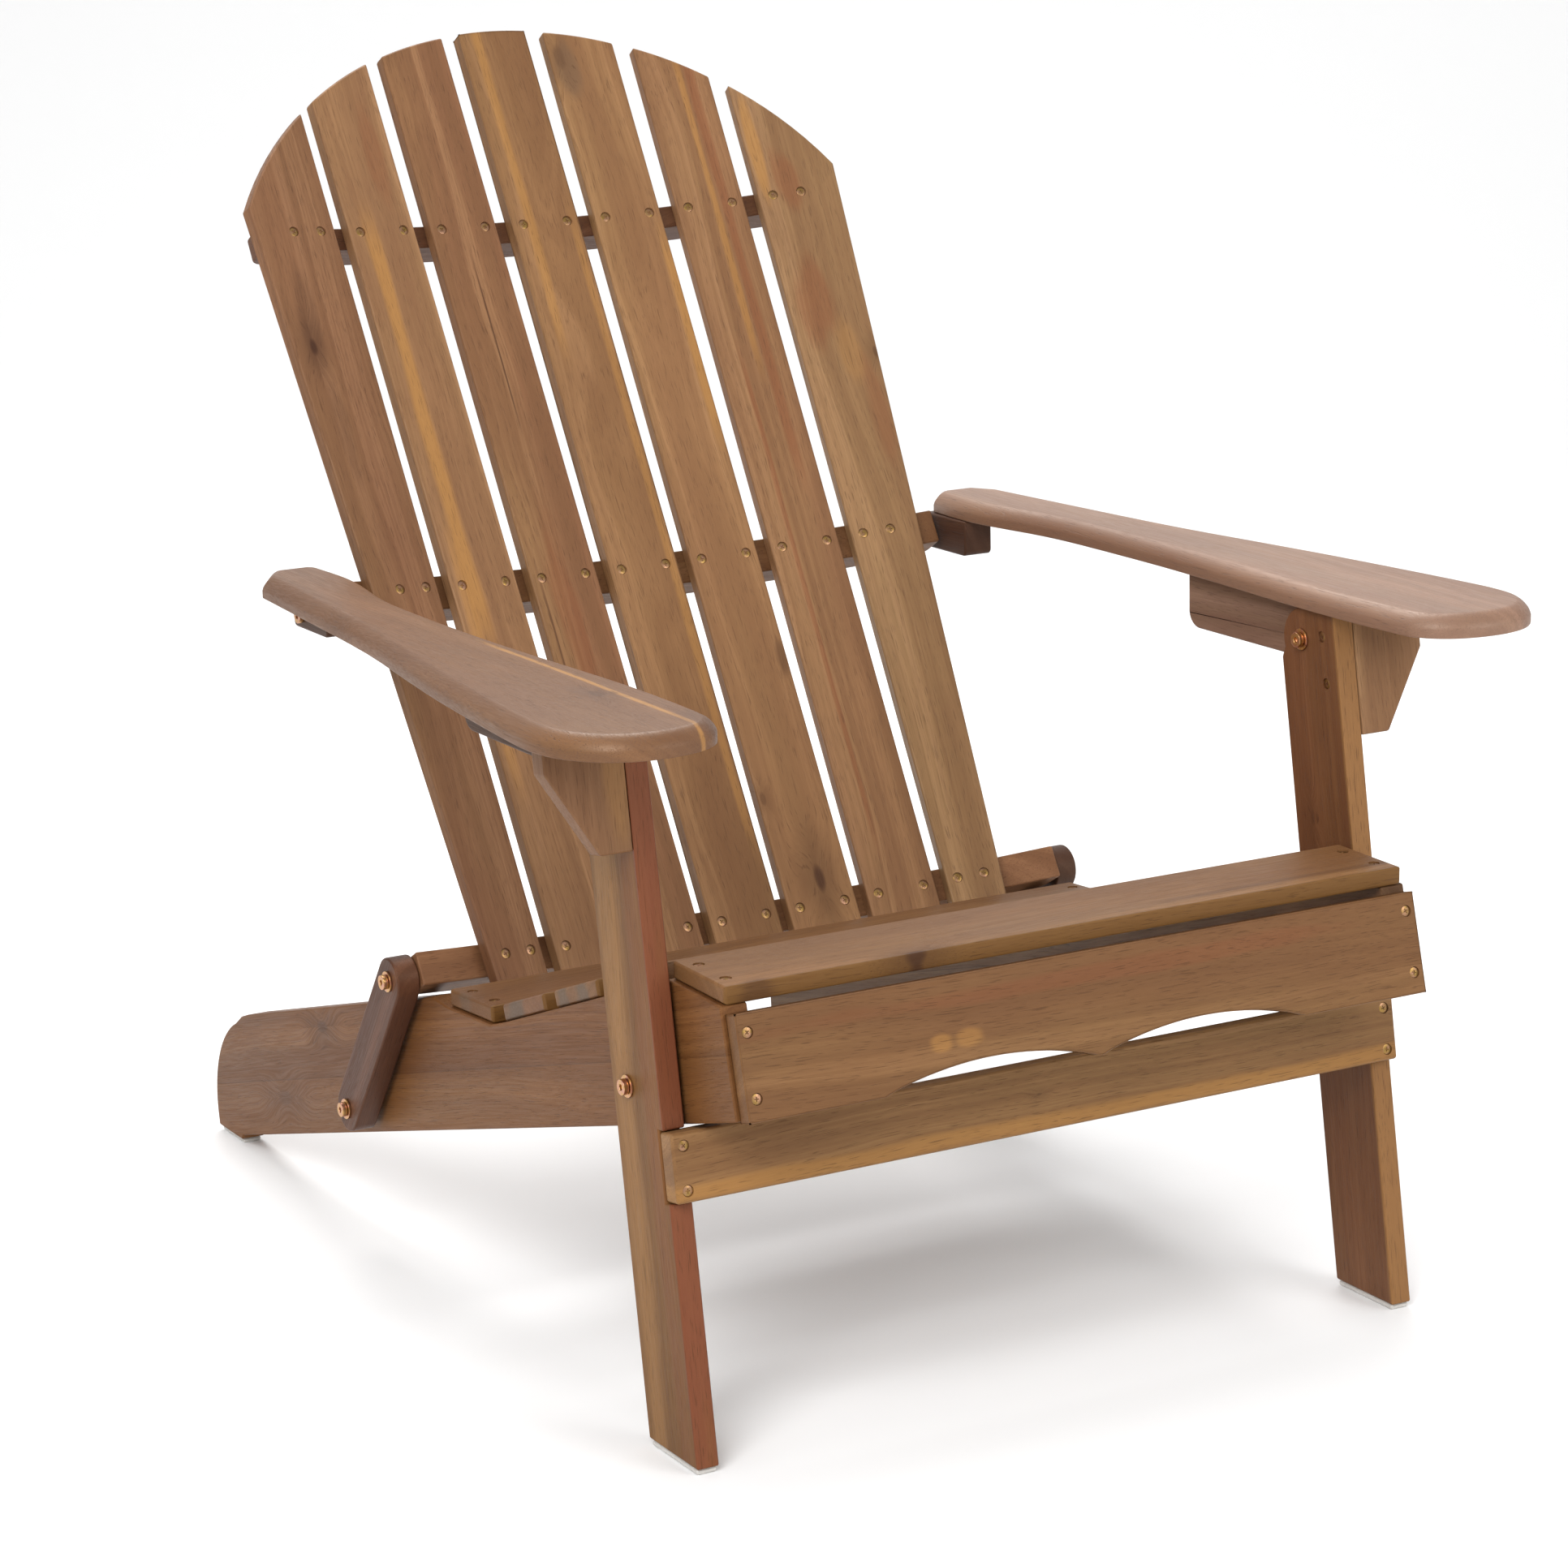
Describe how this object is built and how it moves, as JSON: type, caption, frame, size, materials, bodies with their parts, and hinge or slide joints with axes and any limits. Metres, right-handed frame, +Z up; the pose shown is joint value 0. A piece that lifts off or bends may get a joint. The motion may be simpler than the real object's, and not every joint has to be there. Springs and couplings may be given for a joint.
{
  "type": "adirondack chair",
  "caption": "Folding slatted wooden garden armchair with a fanned, arched, reclined back, low seat, wide flat arms and pivoting legs and links",
  "frame": {"origin": "on the floor under the middle of the bounding box", "axes": "+Z up; the chair faces -Y; +X is the sitter's left, and the chair is symmetric about the YZ plane"},
  "size_m": [0.7688, 0.9143, 0.8826],
  "materials": {
    "acacia_golden": "oiled, satin",
    "acacia_reddish": "oiled, satin",
    "acacia_dark": "oiled, satin",
    "yellow_zinc": "yellow zinc plating",
    "zinc_steel": "bright zinc plating",
    "glide_plastic": "translucent moulded"
  },
  "bodies": {
    "seat_frame": {"side_rail_left": "acacia_golden", "side_rail_right": "acacia_golden", "seat_slat_1": "acacia_golden", "seat_slat_2": "acacia_golden", "seat_slat_3": "acacia_golden", "seat_slat_4": "acacia_golden", "seat_slat_5": "acacia_golden", "apron": "acacia_reddish", "rear_glide_left": "glide_plastic", "rear_glide_right": "glide_plastic", "leg_spacer_left": "zinc_steel", "link_foot_bolt_left": "yellow_zinc", "link_foot_washer_left": "yellow_zinc", "link_foot_nut_left": "zinc_steel", "leg_spacer_right": "zinc_steel", "link_foot_bolt_right": "yellow_zinc", "link_foot_washer_right": "yellow_zinc", "link_foot_nut_right": "zinc_steel"},
    "front_frame": {"leg_left": "acacia_reddish", "corbel_left": "acacia_golden", "front_glide_left": "glide_plastic", "leg_bolt_left": "yellow_zinc", "leg_washer_left": "yellow_zinc", "leg_nut_left": "zinc_steel", "arm_bolt_left": "yellow_zinc", "arm_washer_left": "yellow_zinc", "leg_right": "acacia_reddish", "corbel_right": "acacia_golden", "front_glide_right": "glide_plastic", "leg_bolt_right": "yellow_zinc", "leg_washer_right": "yellow_zinc", "leg_nut_right": "zinc_steel", "arm_bolt_right": "yellow_zinc", "arm_washer_right": "yellow_zinc", "stretcher": "acacia_golden"},
    "arm_assembly_left": {"arm_left": "acacia_reddish", "front_cleat_left": "acacia_dark", "rear_block_left": "acacia_dark", "back_bolt_left": "yellow_zinc"},
    "arm_assembly_right": {"arm_right": "acacia_reddish", "front_cleat_right": "acacia_dark", "rear_block_right": "acacia_dark", "back_bolt_right": "yellow_zinc"},
    "link_assembly_left": {"link_left": "acacia_dark", "link_top_bolt_left": "yellow_zinc", "link_top_washer_left": "yellow_zinc"},
    "link_assembly_right": {"link_right": "acacia_dark", "link_top_bolt_right": "yellow_zinc", "link_top_washer_right": "yellow_zinc"},
    "back": {"back_slat_1": "acacia_reddish", "back_slat_2": "acacia_golden", "back_slat_3": "acacia_reddish", "back_slat_4": "acacia_golden", "back_slat_5": "acacia_reddish", "back_slat_6": "acacia_golden", "back_slat_7": "acacia_reddish", "back_rail_bottom": "acacia_dark", "back_rail_middle": "acacia_dark", "back_rail_top": "acacia_dark"}
  },
  "joints": [
    {"name": "fold", "type": "hinge", "parent": "seat_frame", "child": "front_frame", "pos_m": [0, -0.328, 0.2463], "axis": [1, 0, 0], "range_deg": [0, 85]},
    {"name": "arm_pivot_left", "type": "hinge", "parent": "front_frame", "child": "arm_assembly_left", "pos_m": [0.2911, -0.297, 0.4725], "axis": [1, 0, 0], "range_deg": [-66.5, 0]},
    {"name": "arm_pivot_right", "type": "hinge", "parent": "front_frame", "child": "arm_assembly_right", "pos_m": [-0.2911, -0.297, 0.4725], "axis": [1, 0, 0], "range_deg": [-66.5, 0]},
    {"name": "link_foot_pivot_left", "type": "hinge", "parent": "seat_frame", "child": "link_assembly_left", "pos_m": [0.274, 0.133, 0.108], "axis": [1, 0, 0], "range_deg": [-27.2, 0]},
    {"name": "link_foot_pivot_right", "type": "hinge", "parent": "seat_frame", "child": "link_assembly_right", "pos_m": [-0.274, 0.133, 0.108], "axis": [1, 0, 0], "range_deg": [-27.2, 0]},
    {"name": "back_pivot", "type": "hinge", "parent": "link_assembly_left", "child": "back", "pos_m": [0.2763, 0.046, 0.2285], "axis": [1, 0, 0], "range_deg": [0, 102.2]}
  ],
  "couplings": [
    {"joint": "arm_pivot_left", "follows": "fold", "ratio": -0.78182},
    {"joint": "arm_pivot_right", "follows": "fold", "ratio": -0.78182},
    {"joint": "link_foot_pivot_left", "follows": "fold", "ratio": -0.31981},
    {"joint": "link_foot_pivot_right", "follows": "fold", "ratio": -0.31981},
    {"joint": "back_pivot", "follows": "fold", "ratio": 1.2022}
  ]
}
